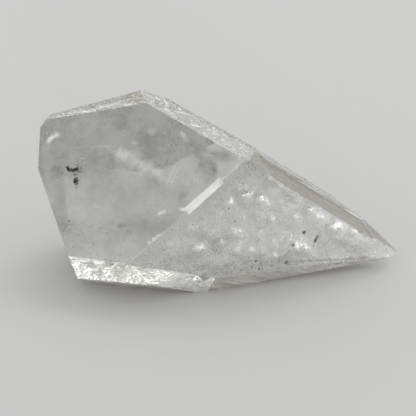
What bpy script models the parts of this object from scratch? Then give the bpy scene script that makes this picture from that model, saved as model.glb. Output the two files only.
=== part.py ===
"""A clear, doubly pointed quartz crystal that lies on its side.

The solid is a block cut by flat crystal faces. Each face has a direction and
a distance from the middle of the crystal. Ledges, chips and a lump are then
cut or added, and the faces that are broken or etched are roughened.
"""

import math
import random

import bmesh
import bpy
from mathutils import Matrix, Vector, noise

MM = 0.001

# The middle of the crystal stands this high over the flat spot it rests on, in mm.
CENTRE_HEIGHT = 7.0

# Crystal faces: azimuth of the outward direction (0 is +X, -90 is the front),
# its tilt over the horizon in degrees, and the distance from the middle in mm.
FACES = {
    "front": (-108.5, 38.0, 7.35),
    "front_broken": (-69.0, -2.5, 5.65),
    "top_left": (170.0, 77.0, 10.50),
    "top_right": (19.0, 64.5, 5.75),
    "top_stained": (8.0, 51.0, 5.85),
    "foot_bright": (-107.0, -39.0, 9.95),
    "foot_middle": (-79.5, -29.5, 7.60),
    "foot_right": (-71.0, -31.0, 7.40),
    "under_point": (-35.5, -85.5, 7.15),
    "under_front": (-102.5, -58.5, 8.85),
    "under_left": (178.0, -75.0, 9.25),
    "under_back": (75.0, -35.0, 7.30),
    "end_upper": (165.0, -9.5, 14.55),
    "end_lower": (190.0, -17.0, 14.55),
    "end_shoulder": (170.0, 40.0, 16.50),
    "back_wall": (104.0, -6.0, 9.15),
    "back_top": (104.0, 19.0, 7.95),
    "back_right": (37.0, 51.0, 5.45),
    "back_point": (54.0, -8.0, 10.60),
    "rest": (0.0, -90.0, CENTRE_HEIGHT),
}

# The sharp point at the right-hand end, seen from the middle of the crystal.
POINT_END = Vector((16.2, 0.5, -6.0))

# Side of the raw block that the faces are cut from, in mm.
BLOCK_SIDE = 60.0

# Rough faces: edge length of the cells in mm, depth of the hollows in mm,
# width of a hollow in mm, depth of the fine grain in mm.
ROUGHNESS = {
    "front_broken": (0.29, 0.30, 1.7, 0.10),
    "foot_bright": (0.30, 0.22, 1.2, 0.10),
    "foot_middle": (0.42, 0.08, 1.6, 0.04),
    "top_left": (0.42, 0.10, 1.3, 0.06),
    "top_right": (0.36, 0.16, 1.0, 0.08),
    "top_stained": (0.38, 0.12, 1.1, 0.06),
}
# Width of the fine grain in mm.
GRAIN_WIDTH = 0.55

# Share of the depth that is left at an edge, and the distances from the next
# face over which the depth grows to its full value.
EDGE_KEEP = 0.12
EDGE_FADE = (0.2, 1.0)

# The roughness dies away towards the sharp point between these distances, in mm.
POINT_FADE = (3.2, 6.5)

# Pits in the broken front face, somewhere inside an area of it.
PIT_SEED = 20
PIT_COUNT = 34
PIT_RADIUS = (0.45, 0.85)
PIT_DEPTH = (0.12, 0.30)
PIT_AREA_MIN = Vector((-3.5, -8.5, -5.5))
PIT_AREA_MAX = Vector((14.0, 0.0, 6.0))

# The bright ledge where the front face meets the broken one: both its ends,
# and its depth under the edge in mm.
LEDGE_START = Vector((0.25, -6.22, 4.50))
LEDGE_END = Vector((-2.95, -7.27, 1.92))
LEDGE_DEPTH = 0.20

# The iron-stained step along the top edge towards the point: its width and
# depth in mm, and where it starts and ends along that edge.
STAINED_STEP_WIDTH = 3.4
STAINED_STEP_DEPTH = 0.16
STAINED_STEP_START = -0.9
STAINED_STEP_END = 12.6

# A rounded lump at the foot of the broken face: its middle and half its size.
LUMP_CENTRE = Vector((-1.75, -5.95, -4.75))
LUMP_SIZE = Vector((0.95, 0.62, 0.85))

# Chips knocked out of the edges: place and radius in mm, and the share of the
# radius by which the middle of the chip lies outside the edge.
CHIPS = [
    (Vector((-15.55, -2.90, 1.55)), 0.45),
    (Vector((-12.40, -2.10, 7.95)), 0.40),
    (Vector((7.45, -3.20, 1.95)), 0.50),
    (Vector((12.90, -0.90, -2.70)), 0.45),
    (Vector((-9.60, -7.80, -2.70)), 0.45),
    (Vector((-11.70, 4.80, 6.30)), 0.70),
    (Vector((-1.50, 8.10, 3.60)), 0.80),
    (Vector((6.80, 6.30, -1.60)), 0.60),
    (Vector((-8.60, 8.00, -2.40)), 0.70),
    (Vector((4.50, -4.95, -6.20)), 0.50),
]
CHIP_SINK = 0.45

# Growth steps on the smooth back faces: face, direction across the face in
# degrees, how far from the middle the step runs in mm, and its height in mm.
STEPS = [
    ("back_top", 155.0, 3.2, 0.16),
    ("back_top", 155.0, 6.0, 0.16),
    ("back_wall", -75.0, 2.4, 0.20),
    ("back_wall", -75.0, 4.1, 0.15),
    ("back_right", -40.0, 2.4, 0.18),
    ("under_back", 170.0, 4.0, 0.22),
    ("end_upper", -60.0, 2.2, 0.18),
]

# Mark of a surface that a step cut, which stays as it is.
CUT_MARK = -1

# Two unit directions count as the same when their dot product is over this.
SAME_DIRECTION = 0.9999

# Directions of the two sets of cuts that divide a rough face into cells, in
# degrees, and the distance at which a cut takes a corner that is already there.
CELL_TURNS = (22.0, 82.0)
CELL_SNAP = 0.03

# Corners closer together than this become one, in mm.
SLIVER = 0.002

# Rounds that bring the move of a corner into each smooth face it lies on.
SLIDE_ROUNDS = 12


def remove_scene_objects():
    """Empty the scene that the script is run in."""
    for item in list(bpy.context.scene.objects):
        bpy.data.objects.remove(item, do_unlink=True)


def direction(azimuth, tilt):
    """Unit vector from an azimuth and a tilt in degrees."""
    around = math.radians(azimuth)
    upward = math.radians(tilt)
    flat = math.cos(upward)
    return Vector((math.cos(around) * flat, math.sin(around) * flat, math.sin(upward)))


def face_plane(name):
    """Outward direction and distance of a named crystal face."""
    azimuth, tilt, distance = FACES[name]
    return direction(azimuth, tilt), distance


def smooth_step(low, high, value):
    """Zero below low, one above high, and smooth between."""
    share = min(1.0, max(0.0, (value - low) / (high - low)))
    return share * share * (3.0 - 2.0 * share)


def new_object(name, mesh):
    """Link a mesh into the scene as an object."""
    item = bpy.data.objects.new(name, mesh)
    bpy.context.scene.collection.objects.link(item)
    return item


def cut_block():
    """The convex block that the crystal faces leave."""
    bm = bmesh.new()
    bmesh.ops.create_cube(bm, size=BLOCK_SIDE)
    for name in FACES:
        normal, distance = face_plane(name)
        cut = bmesh.ops.bisect_plane(
            bm,
            geom=bm.verts[:] + bm.edges[:] + bm.faces[:],
            plane_co=normal * distance,
            plane_no=normal,
            clear_outer=True,
        )
        rim = [part for part in cut["geom_cut"] if isinstance(part, bmesh.types.BMEdge)]
        bmesh.ops.contextual_create(bm, geom=rim)
    bmesh.ops.dissolve_limit(
        bm, angle_limit=math.radians(0.05), verts=bm.verts[:], edges=bm.edges[:]
    )
    bmesh.ops.recalc_face_normals(bm, faces=bm.faces[:])
    mesh = bpy.data.meshes.new("crystal")
    bm.to_mesh(mesh)
    bm.free()
    return new_object("crystal", mesh)


def combine(target, tool, operation):
    """Join or cut the target with another solid, and remove that solid."""
    modifier = target.modifiers.new(operation.title(), "BOOLEAN")
    modifier.operation = operation
    modifier.solver = "EXACT"
    modifier.object = tool
    graph = bpy.context.evaluated_depsgraph_get()
    result = bpy.data.meshes.new_from_object(target.evaluated_get(graph))
    target.modifiers.clear()
    target.data = result
    bpy.data.objects.remove(tool, do_unlink=True)


def box(name, centre, axes, size):
    """A box of a given size whose sides run along three unit axes."""
    mesh = bpy.data.meshes.new(name)
    bm = bmesh.new()
    bmesh.ops.create_cube(bm, size=1.0)
    turn = Matrix(axes).transposed().to_4x4()
    scale = Matrix.Diagonal((size[0], size[1], size[2], 1.0))
    bmesh.ops.transform(bm, matrix=Matrix.Translation(centre) @ turn @ scale, verts=bm.verts)
    bmesh.ops.recalc_face_normals(bm, faces=bm.faces[:])
    bm.to_mesh(mesh)
    bm.free()
    return new_object(name, mesh)


def ball(name, centre, size, detail):
    """A faceted ball or ellipsoid."""
    mesh = bpy.data.meshes.new(name)
    bm = bmesh.new()
    bmesh.ops.create_icosphere(bm, subdivisions=detail, radius=1.0)
    scale = Matrix.Diagonal((size[0], size[1], size[2], 1.0))
    bmesh.ops.transform(bm, matrix=Matrix.Translation(centre) @ scale, verts=bm.verts)
    bm.to_mesh(mesh)
    bm.free()
    return new_object(name, mesh)


def cut_bright_ledge(crystal):
    """A narrow flat along part of the edge between the two front faces."""
    along = (LEDGE_END - LEDGE_START).normalized()
    outward = (face_plane("front")[0] + face_plane("front_broken")[0]).normalized()
    outward = (outward - along * outward.dot(along)).normalized()
    across = outward.cross(along)
    length = (LEDGE_END - LEDGE_START).length
    depth = 2.0
    middle = (LEDGE_START + LEDGE_END) / 2.0 + outward * (depth / 2.0 - LEDGE_DEPTH)
    tool = box("ledge_tool", middle, (along, across, outward), (length, 4.0, depth))
    combine(crystal, tool, "DIFFERENCE")


def cut_stained_step(crystal):
    """A shallow step that follows the edge over the broken face to the point."""
    broken, broken_distance = face_plane("front_broken")
    stained, stained_distance = face_plane("top_stained")
    along = stained.cross(broken).normalized()
    across = along.cross(stained)
    if across.dot(broken) < 0.0:
        across = -across
    # The step's middle on the shared edge, where the two face planes meet.
    halfway = (STAINED_STEP_START + STAINED_STEP_END) / 2.0
    rows = Matrix((broken, stained, along))
    on_edge = rows.inverted() @ Vector((broken_distance, stained_distance, halfway))
    depth = 2.0
    reach = STAINED_STEP_WIDTH + 2.0
    middle = on_edge + across * (reach / 2.0 - STAINED_STEP_WIDTH)
    middle += stained * (depth / 2.0 - STAINED_STEP_DEPTH)
    length = STAINED_STEP_END - STAINED_STEP_START
    tool = box("stain_tool", middle, (along, across, stained), (length, reach, depth))
    combine(crystal, tool, "DIFFERENCE")


def cut_growth_step(crystal, face, turn, start, height):
    """Lower the part of a face that lies beyond a straight line across it."""
    normal, distance = face_plane(face)
    level = Vector((-normal.y, normal.x, 0.0)).normalized()
    steep = normal.cross(level)
    angle = math.radians(turn)
    across = level * math.cos(angle) + steep * math.sin(angle)
    along = normal.cross(across)
    depth = 2.0
    reach = 30.0
    middle = normal * (distance - height + depth / 2.0) + across * (start + reach / 2.0)
    tool = box("step_tool", middle, (across, along, normal), (reach, 40.0, depth))
    combine(crystal, tool, "DIFFERENCE")


def cut_chips(crystal):
    """Small shell-shaped chips along the edges."""
    for place, radius in CHIPS:
        outward = place.normalized()
        centre = place + outward * radius * CHIP_SINK
        tool = ball("chip_tool", centre, (radius, radius * 1.2, radius * 0.9), 2)
        combine(crystal, tool, "DIFFERENCE")


def add_lump(crystal):
    """The rounded lump at the foot of the broken face."""
    tool = ball("lump_tool", LUMP_CENTRE, LUMP_SIZE, 2)
    combine(crystal, tool, "UNION")


def face_name(face):
    """Name of the crystal face that a polygon is part of, or None."""
    for name in FACES:
        if face_plane(name)[0].dot(face.normal) > SAME_DIRECTION:
            return name
    return None


def region_parts(bm, layer, mark):
    """The faces, edges and vertices of a marked region."""
    faces = [face for face in bm.faces if face[layer] == mark]
    edges = dict.fromkeys(edge for face in faces for edge in face.edges)
    verts = dict.fromkeys(vert for face in faces for vert in face.verts)
    return faces, list(edges), list(verts)


def refine(bm, normal, length, layer, mark):
    """Divide a marked flat region into even cells by two sets of straight cuts."""
    level = Vector((-normal.y, normal.x, 0.0)).normalized()
    steep = normal.cross(level)
    for angle in CELL_TURNS:
        turn = math.radians(angle)
        across = level * math.cos(turn) + steep * math.sin(turn)
        _, _, verts = region_parts(bm, layer, mark)
        offsets = [across.dot(vert.co) for vert in verts]
        count = int((max(offsets) - min(offsets)) / length)
        for index in range(count):
            faces, edges, verts = region_parts(bm, layer, mark)
            bmesh.ops.bisect_plane(
                bm,
                geom=verts + edges + faces,
                dist=CELL_SNAP,
                plane_co=across * (min(offsets) + (index + 0.5) * length),
                plane_no=across,
            )
    faces, _, _ = region_parts(bm, layer, mark)
    bmesh.ops.triangulate(bm, faces=faces)


def pit_list(rng):
    """Place, radius and depth of each pit in the broken face."""
    normal, distance = face_plane("front_broken")
    pits = []
    for _ in range(PIT_COUNT):
        place = Vector(
            [rng.uniform(PIT_AREA_MIN[axis], PIT_AREA_MAX[axis]) for axis in range(3)]
        )
        place -= normal * (normal.dot(place) - distance)
        pits.append((place, rng.uniform(*PIT_RADIUS), rng.uniform(*PIT_DEPTH)))
    return pits


def hollow_depth(point, name, pits):
    """How far the rough surface lies under the ideal face at a point, in mm."""
    cell, hollow, width, grain = ROUGHNESS[name]
    distances, _ = noise.voronoi(point / width)
    depth = hollow * (1.0 - min(1.0, distances[0] / 0.75))
    wave = noise.fractal(point / GRAIN_WIDTH, 1.0, 2.0, 2)
    depth += grain * (0.5 + 0.5 * max(-1.0, min(1.0, wave)))
    if name == "front_broken":
        for place, radius, deep in pits:
            share = (point - place).length / radius
            if share < 1.0:
                depth += deep * (1.0 - share * share)
    return depth * smooth_step(*POINT_FADE, (point - POINT_END).length)


def rim_fade(point, name):
    """Less depth near the other faces, so that edges stay nearly straight."""
    nearest = EDGE_FADE[1]
    for other in FACES:
        if other == name:
            continue
        normal, distance = face_plane(other)
        nearest = min(nearest, distance - normal.dot(point))
    return EDGE_KEEP + (1.0 - EDGE_KEEP) * smooth_step(*EDGE_FADE, nearest)


def roughen(crystal):
    """Turn the broken and etched faces into hollows, grain and pits."""
    rng = random.Random(PIT_SEED)
    pits = pit_list(rng)
    bm = bmesh.new()
    bm.from_mesh(crystal.data)
    bm.normal_update()
    layer = bm.faces.layers.int.new("region")
    marks = {name: index + 1 for index, name in enumerate(ROUGHNESS)}
    for face in bm.faces:
        name = face_name(face)
        face[layer] = marks.get(name, 0 if name else CUT_MARK)
    for name, mark in marks.items():
        refine(bm, face_plane(name)[0], ROUGHNESS[name][0], layer, mark)
    names = {mark: name for name, mark in marks.items()}
    moves = {}
    for vert in bm.verts:
        found = {face[layer] for face in vert.link_faces}
        touching = sorted(names[mark] for mark in found if mark > 0)
        if touching and CUT_MARK not in found:
            moves[vert] = lowered(vert, touching, pits)
    for vert, place in moves.items():
        vert.co = place
    bmesh.ops.triangulate(bm, faces=bm.faces[:])
    bm.to_mesh(crystal.data)
    bm.free()


def lowered(vert, touching, pits):
    """Place of a vertex after each rough face it touches is lowered.

    The vertex stays in the plane of every smooth face that it also touches.
    """
    rough = [face_plane(name)[0] for name in touching]
    depths = [hollow_depth(vert.co, name, pits) * rim_fade(vert.co, name) for name in touching]
    move = Vector()
    for normal, depth in zip(rough, depths):
        move -= normal * (depth / len(touching))
    smooth = []
    for face in vert.link_faces:
        if all(face.normal.dot(normal) < SAME_DIRECTION for normal in rough):
            smooth.append(face.normal)
    for _ in range(SLIDE_ROUNDS):
        for normal in smooth:
            move -= normal * normal.dot(move)
    return vert.co + move


def drop_slivers(crystal):
    """Merge corners that the cuts left almost on top of each other."""
    bm = bmesh.new()
    bm.from_mesh(crystal.data)
    bmesh.ops.remove_doubles(bm, verts=bm.verts[:], dist=SLIVER)
    bmesh.ops.dissolve_degenerate(bm, edges=bm.edges[:], dist=SLIVER)
    bmesh.ops.triangulate(bm, faces=bm.faces[:])
    bm.to_mesh(crystal.data)
    bm.free()


def finish(crystal):
    """Scale to metres, set the crystal on its flat spot and centre it."""
    mesh = crystal.data
    mesh.transform(Matrix.Scale(MM, 4))
    xs = [vert.co.x for vert in mesh.vertices]
    ys = [vert.co.y for vert in mesh.vertices]
    zs = [vert.co.z for vert in mesh.vertices]
    shift = Vector((-(min(xs) + max(xs)) / 2.0, -(min(ys) + max(ys)) / 2.0, -min(zs)))
    mesh.transform(Matrix.Translation(shift))
    mesh.shade_flat()
    return crystal


def quartz_material():
    """Colourless glassy quartz."""
    material = bpy.data.materials.new("quartz")
    material.use_nodes = True
    shader = material.node_tree.nodes["Principled BSDF"]
    shader.inputs["Base Color"].default_value = (0.86, 0.86, 0.84, 1.0)
    shader.inputs["Roughness"].default_value = 0.05
    shader.inputs["Metallic"].default_value = 0.0
    shader.inputs["IOR"].default_value = 1.544
    shader.inputs["Transmission Weight"].default_value = 1.0
    return material


def build():
    remove_scene_objects()
    crystal = cut_block()
    cut_stained_step(crystal)
    for face, turn, start, height in STEPS:
        cut_growth_step(crystal, face, turn, start, height)
    roughen(crystal)
    cut_bright_ledge(crystal)
    add_lump(crystal)
    cut_chips(crystal)
    drop_slivers(crystal)
    finish(crystal)
    crystal.data.materials.clear()
    crystal.data.materials.append(quartz_material())


build()
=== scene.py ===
"""Looks of a clear quartz crystal that lies on a pale floor."""

import math
import random

import bmesh
import bpy
import numpy
from mathutils import Matrix, Vector, noise


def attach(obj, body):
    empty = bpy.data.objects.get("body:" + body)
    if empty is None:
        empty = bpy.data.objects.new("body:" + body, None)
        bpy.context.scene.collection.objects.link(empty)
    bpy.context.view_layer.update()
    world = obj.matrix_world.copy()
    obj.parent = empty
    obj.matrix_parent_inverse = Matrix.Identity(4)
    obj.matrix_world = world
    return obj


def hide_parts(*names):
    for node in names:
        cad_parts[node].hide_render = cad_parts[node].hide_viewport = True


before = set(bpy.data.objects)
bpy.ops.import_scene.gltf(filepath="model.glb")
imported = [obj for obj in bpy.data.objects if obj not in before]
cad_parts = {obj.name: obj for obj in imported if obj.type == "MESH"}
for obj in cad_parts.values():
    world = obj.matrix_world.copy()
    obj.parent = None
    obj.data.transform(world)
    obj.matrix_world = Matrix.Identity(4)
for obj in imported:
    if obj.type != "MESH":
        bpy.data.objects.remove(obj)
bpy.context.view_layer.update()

MM = 0.001

# The middle of the crystal in the frame, in mm. Face distances count from it.
MIDDLE = Vector((0.008, -0.012, 7.0))

# Crystal faces as in the solid: azimuth and tilt of the outward direction in
# degrees, and the distance from the middle in mm.
FACES = {
    "front": (-108.5, 38.0, 7.35),
    "front_broken": (-69.0, -2.5, 5.65),
    "top_left": (170.0, 77.0, 10.50),
    "top_right": (19.0, 64.5, 5.75),
    "top_stained": (8.0, 51.0, 5.85),
    "foot_bright": (-107.0, -39.0, 9.95),
    "foot_middle": (-79.5, -29.5, 7.60),
    "foot_right": (-71.0, -31.0, 7.40),
    "under_point": (-35.5, -85.5, 7.15),
    "under_front": (-102.5, -58.5, 8.85),
    "under_left": (178.0, -75.0, 9.25),
    "under_back": (75.0, -35.0, 7.30),
    "end_upper": (165.0, -9.5, 14.55),
    "end_lower": (190.0, -17.0, 14.55),
    "end_shoulder": (170.0, 40.0, 16.50),
    "back_wall": (104.0, -6.0, 9.15),
    "back_top": (104.0, 19.0, 7.95),
    "back_right": (37.0, 51.0, 5.45),
    "back_point": (54.0, -8.0, 10.60),
    "rest": (0.0, -90.0, 7.0),
}

# How deep the hollows of a broken face go under its plane, in mm.
ROUGH_DEPTH = 0.75

# How the solid's polygons are told apart: largest distance from their face in
# mm, least cosine between parallel faces, and largest height above a broken
# face in mm and least cosine with it in a hollow.
FLAT_SLACK = 0.006
PARALLEL = 0.9998
HOLLOW_SLACK = 0.05
HOLLOW_COSINE = 0.45

# The broken faces. They get a fine relief in place of a flat surface.
BROKEN = ("front_broken", "top_left", "top_right", "top_stained", "foot_bright", "foot_middle")

# How frosted each face is, from 0 to 1, and how milky. The faces that are not
# named are as the last line.
FROST = {
    "front": (0.05, 0.27),
    "front_broken": (0.62, 0.30),
    "top_left": (0.45, 0.30),
    "top_right": (0.70, 0.30),
    "top_stained": (0.70, 0.34),
    "foot_bright": (0.40, 0.16),
    "foot_middle": (0.35, 0.15),
    "foot_right": (0.08, 0.0),
    "under_front": (0.08, 0.0),
    # The ledge's full milkiness is partly its own frost and partly a painted highlight.
    "ledge": (0.22, 1.0),
    "rest": (0.70, 0.30),
    "under_left": (0.55, 0.15),
    "under_back": (0.50, 0.10),
    "back_top": (0.55, 0.14),
    "back_wall": (0.35, 0.06),
    "end_upper": (0.45, 0.18),
    "end_lower": (0.45, 0.12),
    "other": (0.25, 0.05),
}

# How much faint painted shade lies in darker patches under each face.
SHADE_PATCH_AMOUNTS = {
    "front": 0.26,
    "front_broken": 0.18,
    "top_right": 0.40,
    "top_left": 0.26,
    "top_stained": 0.10,
}

# The bright ledge on the edge between the two front faces: both its ends, how
# far it may go past them and beside their line, all in mm from the middle, and
# the least cosine with its outward direction.
LEDGE_START = Vector((0.25, -6.22, 4.50))
LEDGE_END = Vector((-2.95, -7.27, 1.92))
LEDGE_SLACK = 0.1
LEDGE_REACH = 0.8
LEDGE_COSINE = 0.99

# Fine relief of the broken faces: cell size, depth of the grain, width of the
# grain, depth and width of the small round pits, all in mm.
FINE_CELL = 0.17
FINE_DEPTH = 0.035
FINE_WIDTH = 0.22
PIT_DEPTH = 0.03
PIT_WIDTH = 0.42

# The radius of a pit as a share of its width.
PIT_RADIUS = 0.55

# How often the cells of the broken faces are divided, how often their corners
# are smoothed, and how strongly each time.
FINE_ROUNDS = 3
SMOOTH_ROUNDS = 3
SMOOTH_SHARE = 0.5

# Layers of noise in the grain, and in the marks and the veils of bubbles, how
# fast the layers fade, and how much finer each next one is.
GRAIN_LAYERS = 3
WISP_LAYERS = 4
LAYER_FADE = 1.0
LAYER_STEP = 2.0

# Corners nearer than the first distance in metres are joined, and cuts nearer
# to a corner than the second go through it.
MERGE_DISTANCE = 1e-7
CUT_SLACK = 1e-8

# Least cosine between the polygons of one flat face, and the angle in degrees
# from which an edge of the crystal is sharp.
COPLANAR = 0.9999
SHARP_ANGLE = 28.0

# Regions are whole numbers; nearer than this they are the same one.
REGION_SLACK = 0.1

# Camera: distance in mm, height angle in degrees, aim in mm from the middle of
# the crystal, width of the picture at the aim and of the sensor in mm, and the
# nearest and farthest distance that it sees in metres.
CAMERA_DISTANCE = 230.0
CAMERA_ELEVATION = 25.0
AIM = Vector((-1.03, -2.40, 0.08))
FRAME_WIDTH = 37.44
SENSOR = 36.0
CLIP = (0.01, 50.0)

# Half the width of the photograph in its own pixels.
PHOTO_HALF = 208.0

# Refractive index of quartz.
QUARTZ_IOR = 1.544

# The clear face that the cloudy sheets, flecks and grains are seen through.
CLEAR_FACE = "front"

# Cloudy sheets inside the crystal: place in the photograph, depth under the face
# in mm, length and width in mm, turn of the length in degrees, and density.
HAZES = {
    "upper": ((130, 136), 2.4, (14.0, 5.5), -8.0, 0.75),
    "left": ((76, 176), 2.0, (7.0, 10.0), 0.0, 0.70),
    "middle": ((125, 195), 3.0, (12.0, 8.5), 15.0, 0.50),
    "lower": ((112, 238), 1.8, (12.0, 4.5), -5.0, 0.75),
    "right": ((190, 175), 2.4, (8.0, 7.0), 40.0, 0.45),
    "cloud": ((139, 163), 1.6, (5.0, 1.7), -32.0, 0.80),
    "cloud_core": ((146, 167), 1.4, (1.8, 0.7), -35.0, 0.9),
    "left_triangle": ((80, 214), 1.0, (3.6, 3.2), -12.0, 0.45),
    "low_wisps": ((168, 240), 1.0, (4.4, 1.1), 4.0, 0.8),
    "ledge_side": ((200, 182), 0.9, (4.4, 1.4), 38.0, 0.8),
    "corner": ((235, 163), 0.7, (4.4, 1.8), 12.0, 0.8),
    "streak": ((187, 141), 0.7, (2.4, 0.45), -58.0, 1.0),
    "pale_spot_a": ((133, 143), 1.0, (0.9, 0.7), 0.0, 0.9),
    "pale_spot_b": ((150, 131), 1.0, (1.0, 0.8), 20.0, 0.9),
    "pale_spot_c": ((126, 188), 1.2, (1.3, 0.9), 20.0, 0.8),
}

# Veils of single tiny bubbles: the face they are seen through, then as above
# with the number of bubbles last.
VEILS = {
    "cloud_core": ("front", (146, 166), 2.0, (1.8, 0.6), -35.0, 400),
    "grain_patch": ("front_broken", (348, 248), 0.7, (1.6, 0.8), -25.0, 700),
}

# The hazes as sheets: corners along a side, how far they lean and bow at most,
# the height of their ripples in mm and how many ripples a mm has.
HAZE_STEPS = 26
HAZE_LEAN = 0.35
HAZE_BOW = 0.10
HAZE_RIPPLE = 0.25
HAZE_RIPPLES = 0.9

# Depth in mm under the other faces at which a haze starts to show, how much
# deeper it is full, and the depth that it needs to be there at all.
HAZE_START = 0.2
HAZE_RISE = 0.8
HAZE_MARGIN = 0.12

# Bubbles: smallest and largest radius, thickness of a veil and depth that they
# need, all in mm, and how many places are tried for each one.
BUBBLE_RADIUS = (0.014, 0.034)
VEIL_THICKNESS = 0.35
VEIL_MARGIN = 0.25
VEIL_TRIES = 12

# A veil's size over its spread, how far it leans at most, how many wisps a mm
# has, and the noise between which the bubbles thin out.
VEIL_SPREAD = 2.4
VEIL_LEAN = 0.5
VEIL_WISPS = 1.4
VEIL_THINNING = (-0.25, 0.55)

# Bright flecks of small cracks: place in the photograph, depth, length and width
# in mm, and turn in degrees.
FLECKS = {
    "flash": ((52, 138), 0.5, (0.75, 0.28), 62.0),
    "bright_spot": ((161, 213), 0.6, (0.7, 0.3), 30.0),
    "yellow_spot": ((176.5, 201), 0.4, (0.35, 0.2), 30.0),
}

# A fleck strays this many pixels from its place. Its rim has so many corners at
# these shares of its size, and its middle is so thick to each side in mm.
FLECK_STRAY = 0.0
FLECK_CORNERS = 14
FLECK_RIM = (0.8, 1.1)
FLECK_THICKNESS = 0.012

# Dark grains: place in the photograph, depth, spread and size in mm, how many.
SPECKS = {
    "cluster_top": ((75, 170), 0.06, (0.75, 0.34), 0.22, 22),
    "cluster_right": ((80, 172), 0.06, (0.30, 0.16), 0.14, 7),
    "cluster_foot": ((76.5, 182), 0.06, (0.26, 0.66), 0.19, 18),
    "cluster_dust": ((77, 176), 0.10, (0.60, 0.75), 0.05, 22),
    "lone_grain": ((121, 226), 0.10, (0.30, 0.14), 0.13, 10),
}

# The smallest and largest grain as a share of the size, and how uneven they are.
SPECK_SIZES = (0.4, 1.0)
SPECK_STRETCH = 0.6

# What the random places start from.
SEEDS = {"hazes": 3, "veils": 5, "specks": 8, "flecks": 12}

# Marks on the clear and the broken front face: start and end in the photograph,
# half width in mm, and strength. White ones are fine cracks, flakes and wisps; the one at the flash
# near (52, 138) and the two near (270, 178) and (277, 183) are painted highlights.
FRONT_WHITE = (
    ((120, 152), (157, 172), 0.75, 0.50),
    ((139, 162), (150, 169), 0.35, 0.45),
    ((182, 133), (193, 149), 0.28, 0.55),
    ((133, 143), (134, 143), 0.45, 0.35),
    ((150, 131), (151, 131), 0.45, 0.35),
    ((125, 187), (127, 189), 0.50, 0.30),
    ((75, 147), (115, 146.5), 0.12, 0.18),
    ((168, 182), (177, 163), 0.13, 0.40),
    ((171.5, 183), (180, 165), 0.13, 0.35),
    ((72, 212), (96, 216), 1.30, 0.16),
    ((45, 152), (50, 200), 0.80, 0.22),
    ((95, 206), (119, 213), 0.40, 0.20),
    # Painted highlight: the flash of a small crack.
    ((48, 141), (56, 135), 0.28, 0.90),
    ((150, 241), (190, 244), 0.50, 0.35),
    ((153, 238.5), (160, 235), 0.17, 0.80),
    ((149, 243), (157, 240), 0.17, 0.80),
    ((159, 214), (163, 212), 0.22, 0.80),
    ((196, 166), (215, 164), 0.80, 0.28),
    ((215, 164), (258, 154), 0.55, 0.32),
    ((205, 195), (192, 203), 0.55, 0.30),
    ((188, 210), (180, 208.5), 0.20, 0.85),
    ((222, 181), (244, 161), 0.16, 0.65),
    ((186, 212), (130, 263), 0.12, 0.50),
)
BROKEN_WHITE = (
    ((206, 241.5), (211, 246.5), 0.16, 0.95),
    ((207, 238), (213, 243.5), 0.17, 1.00),
    ((210, 235.5), (216, 241), 0.17, 1.00),
    ((213.5, 233.5), (219, 238.5), 0.16, 0.95),
    ((269, 174), (300, 200), 0.13, 0.55),
    ((295, 189), (302, 195), 0.22, 0.95),
    # Painted glints: this mark and the next.
    ((270, 178), (275, 181), 0.22, 0.90),
    ((277, 183), (282, 187), 0.20, 0.85),
    ((280, 200), (285, 203), 0.22, 0.80),
    ((288, 204), (294, 208), 0.22, 0.85),
    ((296, 207), (300, 210), 0.18, 0.75),
    ((283, 208), (287, 211), 0.18, 0.65),
    ((337, 243), (342, 245), 0.20, 0.80),
    ((344, 241), (348, 243), 0.20, 0.80),
    ((350, 243), (354, 245), 0.20, 0.85),
    ((341, 249), (345, 251), 0.20, 0.75),
    ((348, 248), (352, 250), 0.22, 0.85),
    ((355, 247), (359, 249), 0.20, 0.75),
    ((346, 254), (350, 255), 0.18, 0.70),
    ((352, 252), (357, 254), 0.18, 0.70),
)
WHITE_MARKS = {"front": FRONT_WHITE, "front_broken": BROKEN_WHITE}

# Dark marks are grains, smudges and open cracks; some broad ones and the marks along the lower rim
# of the broken front, as noted below, are painted shade.
FRONT_DARK = (
    ((71, 169), (80, 171), 0.26, 0.35),
    ((77, 173), (77, 187), 0.24, 0.35),
    ((55, 161), (61, 163), 0.55, 0.22),
    ((58, 217), (61, 219), 0.40, 0.25),
    ((73, 236), (90, 240), 0.30, 0.25),
    ((177, 248), (195, 247), 0.35, 0.30),
    # Painted shade: the five broad marks below darken the face.
    ((186, 145), (228, 157), 0.80, 0.45),
    ((197, 152), (210, 170), 1.25, 0.50),
    ((146, 182), (180, 196), 1.50, 0.34),
    ((96, 184), (140, 200), 1.60, 0.26),
    ((132, 222), (180, 230), 1.30, 0.30),
    ((66, 150), (84, 160), 0.90, 0.12),
)
BROKEN_DARK = (
    ((317.5, 236.5), (313.7, 246.5), 0.14, 0.90),
    # Painted shade around the white streaks.
    ((200, 236), (224, 243), 0.95, 0.34),
    ((240, 208), (252, 214), 0.80, 0.16),
    # Painted shade around the bright patches: this mark and the next.
    ((330, 240), (362, 252), 0.90, 0.22),
    ((262, 176), (292, 200), 0.70, 0.20),
    ((304.5, 233), (305, 233), 0.17, 0.95),
    ((294.5, 247), (295, 247), 0.16, 0.90),
    ((302, 249.6), (302.5, 249.6), 0.18, 0.95),
    ((287, 262.8), (287.5, 262.8), 0.16, 0.85),
    ((252, 268), (252.5, 268), 0.15, 0.80),
    ((259, 269), (259.5, 269), 0.15, 0.80),
    ((256, 261), (256.5, 261), 0.16, 0.85),
    ((242, 265), (266, 256), 0.12, 0.40),
    # Painted shade of the dark lower rim: this streak and the two soft marks after it.
    ((289.5, 262), (366, 258), 0.18, 0.45),
    ((204, 266), (206, 267), 0.40, 0.25),
    ((190, 274), (193, 275), 0.40, 0.22),
)
DARK_MARKS = {"front": FRONT_DARK, "front_broken": BROKEN_DARK}

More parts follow.
